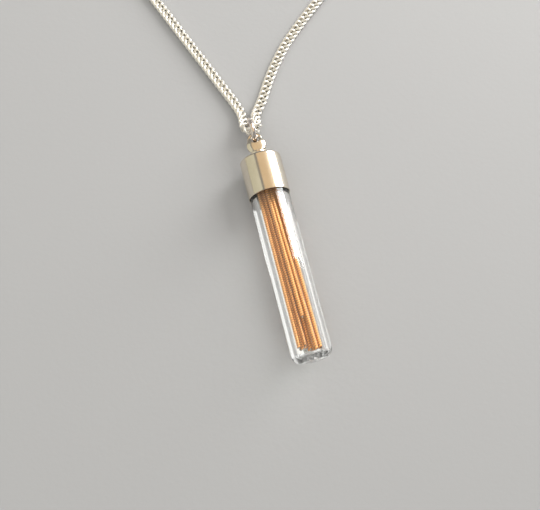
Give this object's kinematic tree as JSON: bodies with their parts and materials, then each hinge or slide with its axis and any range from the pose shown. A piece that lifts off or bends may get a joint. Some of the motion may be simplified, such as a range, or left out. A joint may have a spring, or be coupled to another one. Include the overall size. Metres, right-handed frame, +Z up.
{
  "type": "bottle pendant necklace",
  "caption": "Small glass tube with wound metal strings inside, in a silver cap with an eye, hung by a jump ring on a silver curb chain.",
  "frame": {"origin": "middle of the bottom of the whole necklace's box, on the surface it lies on", "axes": "+Z up from the surface, +Y from the tube towards the back of the chain's loop, +X to the right seen with +Y away from the viewer"},
  "size_m": [0.1246, 0.2258, 0.0086],
  "materials": {
    "glass": "clear, polished",
    "cap_silver": "satin-polished silver",
    "ring_silver": "polished silver",
    "chain_silver": "polished silver",
    "string_bronze": "wound bronze wire, a little worn"
  },
  "bodies": {
    "root": {"glass_tube": "glass", "cap": "cap_silver", "jump_ring": "ring_silver", "chain": "chain_silver", "clasp": "ring_silver", "string_1": "string_bronze", "string_2": "string_bronze", "string_3": "string_bronze", "string_4": "string_bronze", "string_5": "string_bronze", "string_6": "string_bronze", "string_7": "string_bronze", "string_8": "string_bronze", "string_9": "string_bronze", "string_10": "string_bronze", "string_11": "string_bronze", "string_12": "string_bronze"}
  },
  "joints": []
}
